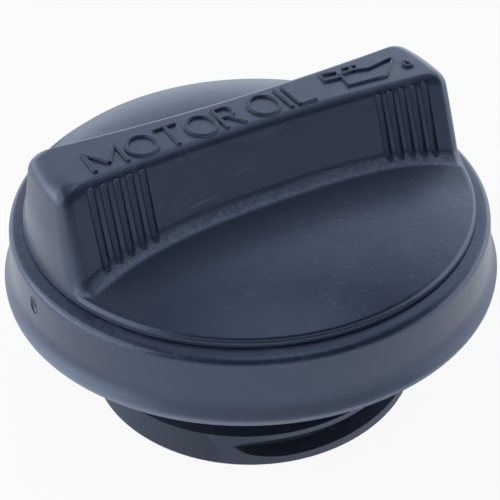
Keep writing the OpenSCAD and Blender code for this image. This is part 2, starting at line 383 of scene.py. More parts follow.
def top_edge(share, angle):
    """A point of the rounded top edge, from 0 degrees at the wall to 90 on the top."""
    up, out = 1 - math.sin(math.radians(angle)), 1 - math.cos(math.radians(angle))
    r = EDGE_R + (END_EDGE_R - EDGE_R) * abs(share[0]) ** 8
    return grip_at(share, crest_z(share[0] * GRIP_R) - r * up, -EDGE_R * out, -END_EDGE_R * out)


print("grip's top is %.1f mm wide in the middle" % (2 * grip_at((0, 1), GRIP_Z + GRIP_CROWN, 0, 0)[1]))

# %% Levels of the loft
COVE_ANGLES = (80, 74, 67, 60, 52, 44, 35, 26, 17, 8, 0)
WALL_SHARES = (0.25, 0.5, 0.75)
EDGE_ANGLES = (0, 12, 24, 36, 48, 60, 72, 82, 90)
TOE_SHARE, SUNK_LEVELS = 0.83, ((-1.1, 1.5), (-0.12, 0.75))
levels = [[above_floor(s, height, COVE_R * TOE_SHARE + spread) for s in outline]
          for height, spread in SUNK_LEVELS]
for angle in COVE_ANGLES:
    up, out = 1 - math.sin(math.radians(angle)), 1 - math.cos(math.radians(angle))
    levels.append([above_floor(s, COVE_R * up, COVE_R * out) for s in outline])
wall_foot, wall_head = levels[-1], [top_edge(s, 0) for s in outline]
for t in WALL_SHARES:
    heights = [foot[2] + (head[2] - foot[2]) * t for foot, head in zip(wall_foot, wall_head)]
    levels.append([grip_at(s, z, 0, 0) for s, z in zip(outline, heights)])
levels += [[top_edge(s, angle) for s in outline] for angle in EDGE_ANGLES]
print(len(levels), "levels")

# %% [markdown]
# Neighbouring levels are joined by four-sided faces. The bottom and the top are closed with strips that run
# across the bar, because one face of 272 corners would be shaded badly.

# %% Lofting the bar
def loft(name, rings):
    """A closed solid through rings of the same number of points, with strips across its two ends."""
    n, last = len(rings[0]), len(rings) - 1
    faces = []
    for k in range(last):
        for j in range(n):
            a, b = k * n + j, k * n + (j + 1) % n
            faces.append((a, b, b + n, a + n))
    for j in range(n // 2):
        m, p = (n - j) % n, n - j - 1
        strip = [j, j + 1] + ([p] if p > j + 1 else []) + ([m] if j > 0 else [])
        faces.append(tuple(reversed(strip)))
        faces.append(tuple(i + last * n for i in strip))
    return mesh_object(name, [p for ring in rings for p in ring], faces)


grip = loft("grip_bar", levels)
print("grip bar, volume and open edges:", volume(grip))

# %% [markdown]
# The parts of the moulding are joined and cut with boolean modifiers. A helper adds the modifier, takes the
# evaluated mesh and removes the tool, so that no modifier is left on the piece.

# %% Joining and cutting
def baked(thing):
    """The mesh of an object with its modifiers applied."""
    graph = bpy.context.evaluated_depsgraph_get()
    return bpy.data.meshes.new_from_object(thing.evaluated_get(graph), depsgraph=graph)


def combine(body, tool, operation):
    """Joins or cuts body with tool, and removes tool."""
    change = body.modifiers.new("change", "BOOLEAN")
    change.operation, change.object, change.solver = operation, tool, "EXACT"
    mesh = baked(body)
    body.modifiers.clear()
    body.data = mesh
    bpy.data.objects.remove(tool)
    print(operation.lower(), "leaves", len(mesh.polygons), "faces; volume, open edges:", volume(body))


combine(moulding, grip, "UNION")

# %% [markdown]
# The grip has four groups of five finger grooves. They could be placed one by one, but they follow a rule,
# so a Geometry Nodes tree puts one slot on twenty points. The point's index gives its end, its side and its
# number, and from these its place and turn. The slot leans a little less than the grip's side, so it is
# deepest at its foot. Its upper end is round and lies just under the grip's top edge.

# %% One slot
def slot_shape(radius, reach, length, steps=12):
    """A slot along +Z in millimetres, with a round bottom at -Y and round ends, open towards +Y."""
    made = bmesh.new()
    half_turn = [math.pi * k / steps for k in range(steps + 1)]
    turns = [math.radians(a) for a in (-87, -70, -52, -35, -17, 0)]
    levels = [(radius * math.sin(a), math.cos(a)) for a in turns]
    levels += [(length - z, share) for z, share in reversed(levels)]
    rings = []
    for z, share in levels:
        r = share * radius
        round_side = [(-r * math.cos(a), -r * math.sin(a), z) for a in half_turn]
        points = round_side + [(r, reach, z), (-r, reach, z)]
        rings.append([made.verts.new([c * MM for c in point]) for point in points])
    n = len(rings[0])
    for low_ring, high_ring in zip(rings, rings[1:]):
        for k in range(n):
            m = (k + 1) % n
            made.faces.new((low_ring[k], low_ring[m], high_ring[m], high_ring[k]))
    made.faces.new(reversed(rings[0]))
    made.faces.new(rings[-1])
    bmesh.ops.recalc_face_normals(made, faces=made.faces)
    mesh = bpy.data.meshes.new("slot_shape")
    made.to_mesh(mesh)
    made.free()
    thing = bpy.data.objects.new("slot_shape", mesh)
    scene.collection.objects.link(thing)
    return thing


GROOVE_R, GROOVE_DEPTH, GROOVE_FOOT, GROOVE_HEAD = 0.52, 0.58, 0.6, 0.9
SLOT_REACH, SLOT_LENGTH = 2.0, 7.0
slot = slot_shape(GROOVE_R, SLOT_REACH, SLOT_LENGTH)
print("slot, volume and open edges:", volume(slot))

# %% [markdown]
# Every Geometry Nodes tree here starts and ends alike: named number inputs at its start, Realize Instances
# and Set Material at its end. The tree runs on an empty object, and its result is kept as a plain mesh.

# %% Start and end of a geometry tree
def geometry_tree(name, sizes):
    """A new geometry tree with named number inputs, and the values of those inputs."""
    group = bpy.data.node_groups.new(name, "GeometryNodeTree")
    group.interface.new_socket("Geometry", in_out="OUTPUT", socket_type="NodeSocketGeometry")
    for key, number in sizes.items():
        made = group.interface.new_socket(key, in_out="INPUT", socket_type="NodeSocketFloat")
        made.default_value = number
    tree = Tree(group)
    group_input = tree.node("NodeGroupInput")
    return tree, {key: group_input.other(key) for key in sizes}


def grown(name, tree, geometry, material, sizes):
    """Ends the tree, runs it on an empty object and returns the plain mesh object that it makes."""
    solid = tree.node("GeometryNodeRealizeInstances", {}, {0: geometry})
    dressed = tree.node("GeometryNodeSetMaterial", {}, {0: solid, "Material": material})
    tree.node("NodeGroupOutput", {}, {0: dressed})
    made = mesh_object(name, [], [])
    grow = made.modifiers.new("grow", "NODES")
    grow.node_group = tree.tree
    for item in tree.tree.interface.items_tree:
        if item.in_out == "INPUT":
            grow[item.identifier] = sizes[item.name]
    mesh = baked(made)
    made.modifiers.clear()
    made.data = mesh
    return made


plastic = bpy.data.materials.new("cap_plastic")
print("trees end in a plain mesh with a material")

# %% The tree that places the grooves
GROOVES = 5
groove_sizes = {"Pitch": 1.58, "Middle": 18.85, "Lean": 19.3, "Fan": 1.8}
tree, size = geometry_tree("finger_grooves", groove_sizes)
index = tree.node("GeometryNodeInputIndex")
number = index.math("MODULO", float(GROOVES))
end = (index / float(GROOVES)).math("FLOOR").math("MODULO", 2.0) * 2.0 - 1.0
side = 1.0 - (index / (2.0 * GROOVES)).math("FLOOR") * 2.0
x = end * (size["Middle"] + (number - 2.0) * size["Pitch"])
bow = 1.0 - (x / GRIP_R) ** 2.0
foot_z = (1.0 - (abs(x) / RIM_R) ** DOME_POWER) * DOME_RISE + (RIM_Z + GROOVE_FOOT)
drop = bow * GRIP_CROWN + GRIP_Z - foot_z
wall_y = GRIP_END + bow * (GRIP_WAIST - GRIP_END) + drop * tan(SIDE_LEAN)
y = side * (wall_y - GROOVE_DEPTH + GROOVE_R)
place = tree.node("ShaderNodeCombineXYZ", {}, {0: x * MM, 1: y * MM, 2: foot_z * MM})
turn = tree.node("ShaderNodeCombineXYZ", {}, {
    0: size["Lean"].math("RADIANS"), 1: -(end * side * size["Fan"].math("RADIANS")),
    2: (1.0 - side) * (math.pi / 2)})
upright_length = SLOT_LENGTH * math.cos(math.radians(groove_sizes["Lean"]))
stretch = tree.node("ShaderNodeCombineXYZ", {}, {
    0: 1.0, 1: 1.0, 2: (drop - GROOVE_HEAD) / upright_length})
line = tree.node("GeometryNodeMeshLine", {}, {"Count": 4 * GROOVES})
spots = tree.node("GeometryNodeSetPosition", {}, {0: line, "Position": place})
shape = tree.node("GeometryNodeObjectInfo", {}, {"Object": slot}, out="Geometry")
copies = tree.node("GeometryNodeInstanceOnPoints", {}, {
    "Points": spots, "Instance": shape, "Rotation": turn, "Scale": stretch})
grooves = grown("finger_grooves", tree, copies, plastic, groove_sizes)
bpy.data.objects.remove(slot)
print(4 * GROOVES, "slots, volume and open edges:", volume(grooves))
combine(moulding, grooves, "DIFFERENCE")

# %% [markdown]
# The thread is a groove that runs up the plug along a right-hand helix and starts as a point. A Screw
# modifier makes a helix too, but of one width all along. So a second tree bends a line into the helix by
# rule, lets the section grow from a point over the first degrees and shrink again over the last, and sweeps
# it along the line. With upright curve normals a section's Y points down, so its heights are negated.

# %% The thread groove's section
def poly_curve(name, paths):
    """A curve object of straight-sided splines from (points, closed) pairs, in millimetres."""
    curve = bpy.data.curves.new(name, "CURVE")
    curve.dimensions = "3D"
    for points, closed in paths:
        spline = curve.splines.new("POLY")
        spline.points.add(len(points) - 1)
        for point, (px, py) in zip(spline.points, points):
            point.co = (px * MM, py * MM, 0, 1)
        spline.use_cyclic_u = closed
    made = bpy.data.objects.new(name, curve)
    scene.collection.objects.link(made)
    return made


THREAD_WIDTH, THREAD_DEPTH, THREAD_OUT, THREAD_FLANK = 3.2, 1.9, 0.8, 12.0
THREAD_LOW_SHARE, THREAD_FOOT = 0.7, 1.2
low, high = -THREAD_LOW_SHARE * THREAD_WIDTH, (1 - THREAD_LOW_SHARE) * THREAD_WIDTH
inward, outward = THREAD_DEPTH * tan(THREAD_FLANK), THREAD_OUT * tan(THREAD_FLANK)
corners = [(-THREAD_DEPTH, high - inward), (THREAD_OUT, high + outward),
           (THREAD_OUT, low - outward), (-THREAD_DEPTH, low + inward)]
profile = poly_curve("thread_profile", [([(x, -z) for x, z in corners], True)])
print("groove %.1f mm wide at the wall, %.1f mm at its bottom" % (THREAD_WIDTH, THREAD_WIDTH - 2 * inward))

# %% The thread groove
thread_sizes = {"Turns": 2.4, "Pitch": 3.95, "Start": -125.5, "Runout": 20.0}
steps = 260
tree, size = geometry_tree("thread_groove", thread_sizes)
share = tree.node("GeometryNodeInputIndex") / float(steps - 1)
turned_by = share * size["Turns"] * 360.0
angle = (turned_by + size["Start"]).math("RADIANS")
axis_z = turned_by * size["Pitch"] / 360.0 + (THREAD_FOOT - low)
left = turned_by.at_most(size["Turns"] * 360.0 - turned_by) / size["Runout"]
growth = (left.at_most(1.0) * (math.pi / 2)).math("SINE").math("SQRT").at_least(0.02)
helix = tree.node("ShaderNodeCombineXYZ", {}, {
    0: angle.math("COSINE") * (PLUG_R * MM), 1: angle.math("SINE") * (PLUG_R * MM), 2: axis_z * MM})
line = tree.node("GeometryNodeCurvePrimitiveLine")
line = tree.node("GeometryNodeResampleCurve", {}, {0: line, "Count": steps})
path = tree.node("GeometryNodeSetPosition", {}, {0: line, "Position": helix})
path = tree.node("GeometryNodeSetCurveNormal", {"mode": "Z_UP"}, {0: path})
shape = tree.node("GeometryNodeObjectInfo", {}, {"Object": profile}, out="Geometry")
sweep = tree.node("GeometryNodeCurveToMesh", {}, {0: path, 1: shape, "Scale": growth, "Fill Caps": True})
thread = grown("thread_groove", tree, sweep, plastic, thread_sizes)
bpy.data.objects.remove(profile)
reach = [math.hypot(v.co.x, v.co.y) / MM for v in thread.data.vertices]
rise = [v.co.z / MM for v in thread.data.vertices]
print("thread groove reaches %.2f to %.2f mm from the axis," % (min(reach), max(reach)))
print("from %.2f to %.2f mm high; volume and open edges:" % (min(rise), max(rise)), volume(thread))
combine(moulding, thread, "DIFFERENCE")

# %% [markdown]
# The bar is hollow from below, as a moulding of even wall thickness is: a slot opens from the plug's bore
# up into the bar. It narrows upwards as the bar does, and its ends are round about the cap's axis.

# %% The hollow core of the bar
BAR_WALL, CORE_INSET, CORE_SINK, END_STEPS = 2.3, 0.8, 1.5, 8
core_reach = BORE_R - CORE_INSET
core_rows = []
for z in (dome_z(BORE_R) - DOME_WALL - CORE_SINK, GRIP_Z - BAR_WALL):
    half = GRIP_WAIST + (GRIP_Z - z) * tan(SIDE_LEAN) - BAR_WALL
    swing = math.degrees(math.asin(half / core_reach))
    end_round = arc(0, 0, core_reach, -swing, swing, END_STEPS)
    core_rows.append([(px, py, z) for px, py in end_round] + [(-px, -py, z) for px, py in end_round])
n = len(core_rows[0])
core_faces = [tuple(reversed(range(n))), tuple(range(n, 2 * n))]
core_faces += [(j, (j + 1) % n, (j + 1) % n + n, j + n) for j in range(n)]
core = mesh_object("grip_core", core_rows[0] + core_rows[1], core_faces)
print("core, volume and open edges:", volume(core))
combine(moulding, core, "DIFFERENCE")

# %% [markdown]
# The skirt has a small oval dent on its left side. A shallow lens of an ellipsoid is cut out of the wall
# there, so that the mark is a real hollow and catches the light from every side.

# %% The dent in the skirt
DENT_TURN, DENT_R, DENT_Z = math.radians(-175.0), 29.55, 22.0
DENT_DEPTH, DENT_WIDTH, DENT_HEIGHT = 0.48, 0.95, 1.2
dent = turned("dent", arc(0, 0, 1, 90, -90, 12), 28)
middle = Vector((DENT_R * math.cos(DENT_TURN), DENT_R * math.sin(DENT_TURN), DENT_Z))
dent.data.transform(
    Matrix.Translation(middle * MM) @ Matrix.Rotation(DENT_TURN, 4, "Z")
    @ Matrix.Diagonal((DENT_DEPTH, DENT_WIDTH, DENT_HEIGHT, 1.0)))
print("dent, volume and open edges:", volume(dent))
combine(moulding, dent, "DIFFERENCE")

# %% [markdown]
# After the cuts, vertices that fall together are merged and thin slivers go. The surface is shaded smooth,
# apart from edges sharper than thirty degrees, and weighted normals keep the large faces even beside the
# small ones.

# %% Smooth shading
MERGE_DISTANCE, SHARP_ANGLE = 0.002 * MM, 30


def smoothed(thing):
    """Cleans a mesh and gives it smooth shading, with its sharp edges kept."""
    made = bmesh.new()
    made.from_mesh(thing.data)
    bmesh.ops.remove_doubles(made, verts=made.verts, dist=MERGE_DISTANCE)
    bmesh.ops.dissolve_degenerate(made, dist=MERGE_DISTANCE, edges=made.edges)
    made.to_mesh(thing.data)
    made.free()
    for face in thing.data.polygons:
        face.use_smooth = True
    thing.data.set_sharp_from_angle(angle=math.radians(SHARP_ANGLE))
    even = thing.modifiers.new("even", "WEIGHTED_NORMAL")
    even.keep_sharp = True
    mesh = baked(thing)
    thing.modifiers.clear()
    thing.data = mesh
    mesh.materials.clear()


smoothed(moulding)
moulding.data.materials.append(plastic)
print("moulding:", len(moulding.data.polygons), "faces; volume and open edges:", volume(moulding))

# %% [markdown]
# Raised lettering runs along the bar's top. The words and the oil can are generic, and their strokes are
# this file's own. A text object could give the words, but strokes need no font and serve for the oil can
# too. Each letter is a set of strokes on a unit square, and each stroke is a line that the next cells lay
# on the bar.

# %% Strokes of the letters and the oil can
def ellipse(cx, cy, rx, ry, start=0, end=360, steps=28):
    """Points of an ellipse, or of a part of it, from one angle up to but not at another, in degrees."""
    angles = [math.radians(start + (end - start) * i / steps) for i in range(steps)]
    return [(cx + rx * math.cos(a), cy + ry * math.sin(a)) for a in angles]


bowl = ellipse(0.5, 0.76, 0.42, 0.24, 90, -110, 10)
STROKES = {
    "M": [[(0, 0), (0, 1)], [(0, 1), (0.5, 0.22)], [(0.5, 0.22), (1, 1)], [(1, 1), (1, 0)]],
    "T": [[(0, 1), (1, 1)], [(0.5, 1), (0.5, 0)]],
    "R": [[(0, 0), (0, 1)], [(0, 1)] + bowl + [(0, 0.52)], [(0.45, 0.52), (1, 0)]],
    "I": [[(0, 0), (0, 1)]],
    "L": [[(0, 1), (0, 0)], [(0, 0), (1, 0)]],
}
LETTERS = [("M", -20.3, 3.9), ("O", -15.6, 3.5), ("T", -11.5, 2.8), ("O", -8.1, 3.5), ("R", -3.9, 2.4),
           ("O", 0.2, 3.6), ("I", 4.7, 0.1), ("L", 5.8, 2.2)]


WORDS_START, WORDS_LENGTH = -20.4, 28.4
FOOT_Y, FOOT_RISE, LETTER_HEIGHT, HEIGHT_RISE = -3.15, 0.7, 3.9, 0.5


def on_bar(x, v):
    """A point of the lettering: v is 0 at the foot of the letters and 1 at their head."""
    t = (x - WORDS_START) / WORDS_LENGTH
    return (x, FOOT_Y + FOOT_RISE * t + (LETTER_HEIGHT + HEIGHT_RISE * t) * v)


strokes = []
for letter, start, width in LETTERS:
    if letter == "O":
        ring_points = ellipse(start + width / 2, 0.5, width / 2, 0.5)
        strokes.append(([on_bar(px, py) for px, py in ring_points], True))
    for path in STROKES.get(letter, []):
        strokes.append(([on_bar(start + width * px, py) for px, py in path], False))
can_body = [(13.4, 1.0), (12.9, -1.8), (18.1, -2.1), (21.2, 1.1), (20.4, 1.2), (17.3, 0.5), (15.4, 1.0)]
can_handle = [(13.3, 1.7), (11.3, 2.1), (11.0, 0.5), (13.1, 0.3)]
can_lid, can_post = [(14.4, 2.0), (16.2, 1.9)], [(15.3, 2.0), (15.2, 1.1)]
drop_outline = [(21.9, -0.2), (22.4, -1.0), (22.2, -1.6), (21.6, -1.6), (21.4, -1.0)]
strokes += [(can_body, True), (can_handle, False), (can_lid, False), (can_post, False), (drop_outline, True)]
print(len(strokes), "strokes")

# %% [markdown]
# A low ridge with rounded shoulders is swept along the strokes. A third tree first lifts them to the
# crowned top of the bar. The ridge's foot is sunk into the bar, so no gap shows below it.

# %% Laying the strokes on the bar
RIDGE_HALF, RIDGE_HEIGHT, RIDGE_SINK, RIDGE_POWER, RIDGE_STEPS = 0.27, 0.32, 0.4, 0.6, 12


def squarish(value):
    """Fills out the round of a half circle towards a square."""
    return math.copysign(abs(value) ** RIDGE_POWER, value)


turns = [math.pi * i / RIDGE_STEPS for i in range(RIDGE_STEPS, -1, -1)]
crown = [(RIDGE_HALF * squarish(math.cos(a)), -RIDGE_HEIGHT * squarish(math.sin(a))) for a in turns]
ridge = [(-RIDGE_HALF, RIDGE_SINK)] + crown + [(RIDGE_HALF, RIDGE_SINK)]
paths, ridge_curve = poly_curve("strokes", strokes), poly_curve("ridge", [(ridge, True)])
letter_sizes = {"Top": GRIP_Z, "Crown": GRIP_CROWN}
tree, size = geometry_tree("raised_lettering", letter_sizes)
lines = tree.node("GeometryNodeObjectInfo", {}, {"Object": paths}, out="Geometry")
lines = tree.node("GeometryNodeResampleCurve", {"mode": "EVALUATED"}, {0: lines})
along = tree.node("ShaderNodeSeparateXYZ", {}, {0: tree.node("GeometryNodeInputPosition")})
bow = 1.0 - (along / (GRIP_R * MM)) ** 2.0
lift = tree.node("ShaderNodeCombineXYZ", {}, {2: (size["Top"] + size["Crown"] * bow) * MM})
lines = tree.node("GeometryNodeSetPosition", {}, {0: lines, "Offset": lift})
lines = tree.node("GeometryNodeSetCurveNormal", {"mode": "Z_UP"}, {0: lines})
shape = tree.node("GeometryNodeObjectInfo", {}, {"Object": ridge_curve}, out="Geometry")
ridges = tree.node("GeometryNodeCurveToMesh", {}, {0: lines, 1: shape, "Fill Caps": True})
lettering = grown("raised_lettering", tree, ridges, plastic, letter_sizes)
for tool in (paths, ridge_curve):
    bpy.data.objects.remove(tool)
tops = [v.co.z / MM for v in lettering.data.vertices]
print("lettering from %.2f to %.2f mm high" % (min(tops), max(tops)), volume(lettering))

# %% [markdown]
# The sealing ring is a flat rubber ring with softly rounded edges. A torus would be round where the ring is
# flat, so it is turned from its own small section.

# %% The sealing ring
RING_PLAY, RING_WIDTH, RING_CHAMFER, bevel = 0.05, 3.3, 0.1, 0.25
ring_in, ring_out = PLUG_R + RING_PLAY, PLUG_R + RING_PLAY + RING_WIDTH
ring_section = (
    arc(ring_out - bevel, FLANGE_Z - bevel, bevel, 90, 0, 4)
    + arc(ring_out - bevel, RING_Z + bevel, bevel, 0, -90, 4)
    + [(ring_in + RING_CHAMFER, RING_Z), (ring_in, RING_Z + RING_CHAMFER)]
    + [(ring_in, FLANGE_Z - RING_CHAMFER), (ring_in + RING_CHAMFER, FLANGE_Z)]
)
ring = turned("rubber_ring", ring_section, 180, is_ring=True)
print("ring, volume and open edges:", volume(ring))
smoothed(ring)
rubber = bpy.data.materials.new("seal_rubber")
ring.data.materials.append(rubber)

# %% [markdown]
# The plastic is a dark slate-blue moulding compound with a satin skin. Its marks could be painted on an
# image, but worked out from Object coordinates, in millimetres, they need no unwrapping and stay on the
# surface from every side. Some are noise, drawn out along a direction where they are streaks.

# %% Start and end of a shader tree
def shader_tree(material):
    """A new shader tree, and the place on the object in millimetres."""
    material.use_nodes = True
    tree = Tree(material.node_tree)
    place = tree.node("ShaderNodeTexCoord", out="Object")
    return tree, tree.node("ShaderNodeVectorMath", {"operation": "SCALE"}, {0: place, "Scale": 1 / MM})


def finish_shader(tree, inputs):
    shader = tree.node("ShaderNodeBsdfPrincipled", {}, inputs)
    tree.node("ShaderNodeOutputMaterial", {}, {0: shader})


def noise(scale, detail=3.0, rough=0.55, vector=None):
    return tree.node("ShaderNodeTexNoise", {}, {
        "Vector": vector or mm, "Scale": scale, "Detail": detail, "Roughness": rough})


def stretched(along, across, up, turn=0.0):
    """Coordinates turned about Z and stretched, for noise that draws out into streaks."""
    return tree.node("ShaderNodeMapping", {"vector_type": "POINT"}, {
        "Vector": mm, "Rotation": (0.0, 0.0, math.radians(turn)), "Scale": (along, across, up)})


tree, mm = shader_tree(plastic)
print("the plastic's tree has", len(plastic.node_tree.nodes), "nodes so far")

# %% [markdown]
# Wear sits where the shape puts it, so the material needs to know its place on the cap. These sums repeat
# the rules of the dome and the bar: how high a point lies over the disc, how far it lies below the bar's
# top, and how deep inside the bar's side.

# %% Place on the cap, and patterns
axes = tree.node("ShaderNodeSeparateXYZ", {}, {0: mm})
px, py, pz = axes, axes.other("Y"), axes.other("Z")
radius = (px * px + py * py).math("SQRT")
over_disc = pz - (RIM_Z + DOME_RISE) + (radius / RIM_R) ** DOME_POWER * DOME_RISE
on_disc = radius.rise(26.9, 26.3)
drop = (1.0 - (px / GRIP_R) ** 2.0) * GRIP_CROWN + GRIP_Z - pz
inside = (px / GRIP_R) ** 2.0 * (GRIP_END - GRIP_WAIST) + GRIP_WAIST + drop * tan(SIDE_LEAN) - abs(py)

clouds, patches, fine = noise(0.09), noise(0.2, 4.0, 0.65), noise(1.6, 4.0, 0.7)
grain, swell = noise(2.6, 3.0, 0.6), noise(0.28, 1.0)
flecks = noise(1.0, 2.0, 0.5, stretched(0.9, 3.4, 3.4, 38.0)).rise(0.64, 0.70)
dots = noise(2.4, 1.0).rise(0.70, 0.75)
print("plastic patterns in millimetres")

# %% [markdown]
# Use has left its marks where hands and tools touch the cap. The cove at the bar's foot is rubbed pale and
# rough, and the disc in front of it has flecks. Fine lines run along the bar's front, left of its middle.
# The shoulder, the lip and the plug's rim are scuffed, and the finger grooves are darker.

# %% Where the plastic is worn, and the darker finger grooves
cove = on_disc * over_disc.rise(0.02, 0.16) * over_disc.rise(1.35, 0.6) * abs(px).rise(25.5, 23.5)
# The disc in front of the bar, where flecks of wear lie and a paler painted reflection is mixed in.
disc_front = on_disc * over_disc.rise(0.2, 0.05) * py.rise(-8.0, -11.5) * (px - py * 0.4).rise(-14.0, 8.0)
shoulder = pz.rise(23.0, 23.9) * pz.rise(25.0, 24.7) * radius.rise(26.9, 27.3)
lip = radius.rise(30.25, 30.5) * pz.rise(17.6, 16.9)
rim = radius.rise(21.2, 21.5) * pz.rise(0.5, 0.2)
side_z = pz - px * 0.12
side_worn = px.rise(-13.0, -10.0) * px.rise(-1.0, -4.5) * py.rise(-3.0, -4.0)
side_worn = side_worn * side_z.rise(30.2, 31.2) * side_z.rise(34.0, 33.2)
side_lines = noise(1.0, 2.0, 0.5, stretched(0.16, 0.3, 2.6)).rise(0.56, 0.64) * side_worn
grip_edge = inside.rise(1.1, 0.5) * drop.rise(2.0, 1.0) * on_disc
# The finger grooves are made darker and a little rougher.
groove_darkening = inside.rise(0.1, 0.45) * drop.rise(1.0, 1.6) * abs(px).rise(13.6, 14.2) * on_disc
print("wear on the cove, disc, shoulder, lip, rim, side and edges")

# %% [markdown]
# Broad areas differ a little in tone. The lettering is darker. The bar's top is painted paler, as painted
# light; the front of the disc, the skirt, its flare and the plug are painted paler, as painted reflection;
# and the disc beside the bar is painted darker, as painted shade. All scuffs add up to one mask, which holds
# the flare's painted reflection too.

# %% Painted light and shade, and all scuffs together
# Painted reflection: a pale band is painted on the flare above the lip, and joins the scuffs below.
flare_painted_reflection = radius.rise(29.75, 30.5) * pz.rise(20.0, 18.5)
# Painted reflection: the skirt's wall is painted a little paler all round.
skirt_painted_reflection = radius.rise(27.9, 28.6) * pz.rise(24.4, 23.6) * pz.rise(15.0, 15.6)
# Painted reflection: the plug below the skirt is painted paler.
plug_painted_reflection = pz.rise(15.5, 15.0)
raised = (-drop).rise(0.06, 0.14)
# Painted light: the bar's top, but not its lettering, is painted paler in patches.
top_painted_light = on_disc * drop.rise(0.7, 0.1) * (1.0 - raised)
# Painted shade: the disc next to the bar's sides is painted darker, and made rougher.
painted_shade_beside_bar = on_disc * over_disc.rise(0.1, 0.02) * inside.rise(-10.0, -2.0)
rough_fine = fine.rise(0.35, 0.70)
patchy = patches.rise(0.45, 0.65)
scuffs_and_flare_reflection = cove * (rough_fine * 0.32 + 0.24)
scuffs_and_flare_reflection = scuffs_and_flare_reflection + disc_front * (flecks * 0.32 + dots * 0.25) * patches.rise(0.42, 0.56)
scuffs_and_flare_reflection = scuffs_and_flare_reflection + shoulder * patchy * (rough_fine * 0.16) + lip * (0.55 + fine * 0.3)
scuffs_and_flare_reflection = scuffs_and_flare_reflection + flare_painted_reflection * 0.32 + rim * 0.25 + side_lines * 0.28
scuffs_and_flare_reflection = scuffs_and_flare_reflection + grip_edge * patchy * fine.rise(0.40, 0.65) * 0.2 + dots * patches.rise(0.54, 0.64) * 0.25
scuffs_and_flare_reflection = scuffs_and_flare_reflection.at_most(1.0)
print("scuffs and hazes are masks from 0 to 1")

# %% [markdown]
# The masks are mixed over a base that is nearly even, with faint clouds. Pale scuffs are rougher than the
# skin, and a shallow bump gives it grain and a slight swell. Specular tint and sheen are the same all over,
# so they are set on the shader's own sockets.

# %% The plastic's shader
PAINT = {
    "base_dark": (0.013, 0.018, 0.042, 1), "base_light": (0.018, 0.025, 0.054, 1),
    "disc_front_painted_reflection": (0.050, 0.060, 0.095, 1), "top_painted_light": (0.085, 0.105, 0.155, 1),
    "wall_painted_reflection": (0.050, 0.065, 0.110, 1), "painted_shade_beside_bar": (0.004, 0.006, 0.013, 1),
    "raised": (0.006, 0.009, 0.020, 1), "scuff_and_flare_reflection": (0.24, 0.28, 0.36, 1), "groove_darkening": (0.004, 0.005, 0.008, 1),
}
colour = tree.mix(clouds.rise(0.3, 0.7), PAINT["base_dark"], PAINT["base_light"])
# Painted reflection: the front of the disc is painted paler in patches.
colour = tree.mix(disc_front * (patches.rise(0.35, 0.65) * 0.3), colour, PAINT["disc_front_painted_reflection"])
# Painted light on the bar's top.
colour = tree.mix(top_painted_light * (0.35 + patches * 0.3), colour, PAINT["top_painted_light"])
# Painted reflection on the plug and on the skirt's wall.
colour = tree.mix(plug_painted_reflection * 0.5 + skirt_painted_reflection * 0.2, colour, PAINT["wall_painted_reflection"])
# Painted shade beside the bar.
colour = tree.mix(painted_shade_beside_bar * 0.75, colour, PAINT["painted_shade_beside_bar"])
colour = tree.mix(raised * 0.7, colour, PAINT["raised"])
# Pale scuffs, with the flare's painted reflection among them.
colour = tree.mix(scuffs_and_flare_reflection, colour, PAINT["scuff_and_flare_reflection"])
# Darker finger grooves.
colour = tree.mix(groove_darkening * 0.3, colour, PAINT["groove_darkening"])
roughness = 0.26 + clouds * 0.06 + scuffs_and_flare_reflection * 0.3 + groove_darkening * 0.1 + raised * 0.15 + painted_shade_beside_bar * 0.32
height = grain * 0.35 + swell * 2.0 + fine * cove * 0.8 - side_lines * 1.5 - flecks * disc_front * 0.4
bump = tree.node("ShaderNodeBump", {}, {"Strength": 0.22, "Distance": 0.1 * MM, "Height": height})
finish_shader(tree, {
    "Base Color": colour, "Roughness": roughness, "Normal": bump,
    "IOR": 1.6, "Specular IOR Level": 0.95, "Specular Tint": (0.58, 0.73, 1.0, 1),
    "Sheen Weight": 0.45, "Sheen Roughness": 0.3, "Sheen Tint": (0.60, 0.78, 1.0, 1)})
print("plastic shader with", len(plastic.node_tree.nodes), "nodes")

# %% [markdown]
# The ring is plain black rubber, matte and slightly uneven. It shows only from below, so faint noise in its
# tone, roughness and surface is enough.

# %% The rubber
tree, mm = shader_tree(rubber)
tone = noise(1.4)
bump = tree.node("ShaderNodeBump", {}, {"Strength": 0.2, "Distance": 0.1 * MM, "Height": noise(4.0)})
finish_shader(tree, {
    "Base Color": tree.mix(tone, (0.014, 0.014, 0.015, 1), (0.024, 0.024, 0.026, 1)),
    "Roughness": 0.62 + tone * 0.12, "Normal": bump})
print("rubber shader with", len(rubber.node_tree.nodes), "nodes")

# %% [markdown]
# The moulding and the ring stand for the two CAD nodes. The lettering is a piece of its own, because the
# CAD part has none. All three ride on the one body.

# %% Pieces on the frame
for piece, slot_name in ((moulding, "cap_plastic"), (lettering, "cap_plastic"), (ring, "seal_rubber")):
    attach(piece, "root")
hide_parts("cap_body")
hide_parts("sealing_ring")

# %% [markdown]
# The camera stands as the photograph's did: a little over forty degrees above the floor, with the bar
# turned about twenty-nine degrees across the view, and a lens whose focal length is 1138 pixels of a
# 500 pixel frame. Small turns about its own axes give the photograph's framing, so no lens shift is needed.

